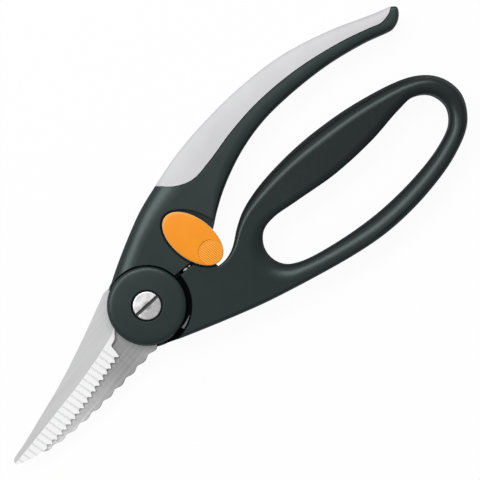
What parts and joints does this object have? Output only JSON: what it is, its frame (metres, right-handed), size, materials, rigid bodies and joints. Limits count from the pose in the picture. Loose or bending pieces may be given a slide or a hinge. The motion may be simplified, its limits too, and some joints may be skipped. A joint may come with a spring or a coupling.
{
  "type": "fish shears",
  "caption": "Sprung fish shears with a serrated blade, a blade with a wavy scaling back, a closed finger loop, an open arm with a soft inlay and a swing lock.",
  "frame": {"origin": "on the axis of the pivot screw, in the plane of the rear faces", "axes": "+X from the blade tip to the handle ends, +Y towards the arm handle, +Z out of the front face"},
  "size_m": [0.2378, 0.0869, 0.0162],
  "materials": {
    "dark_plastic": "fine moulded grain, dark green grey",
    "soft_grey": "soft matt light grey",
    "orange_plastic": "smooth orange with a ridged thumb pad",
    "pale_steel": "satin, with a bright ground bevel",
    "dark_steel": "brushed along the blade",
    "bright_steel": "bright turned steel"
  },
  "bodies": {
    "loop": {"loop_handle": "dark_plastic", "front_blade": "pale_steel", "rear_pivot_cover": "dark_plastic", "pivot_sleeve_nut": "bright_steel", "pivot_screw": "bright_steel", "screw_washer": "dark_steel", "lock_strike": "dark_steel", "opening_spring": "bright_steel"},
    "arm": {"arm_handle": "dark_plastic", "arm_grip": "soft_grey", "rear_blade": "dark_steel", "front_pivot_cover": "dark_plastic", "lock_pivot_pin": "bright_steel", "lock_detent_spring": "bright_steel"},
    "lock": {"lock_lever": "orange_plastic", "lock_post": "bright_steel"}
  },
  "joints": [
    {"name": "blade_pivot", "type": "hinge", "parent": "loop", "child": "arm", "pos_m": [0, 0, 0], "axis": [0, 0, 1], "range_deg": [0, 25], "stiffness_Nm_per_rad": 0.28, "springref_deg": 41.83, "deforming": ["opening_spring"]},
    {"name": "lock_swing", "type": "hinge", "parent": "arm", "child": "lock", "pos_m": [0.0313, 0.012, 0], "axis": [0, 0, 1], "range_deg": [0, 12]}
  ]
}
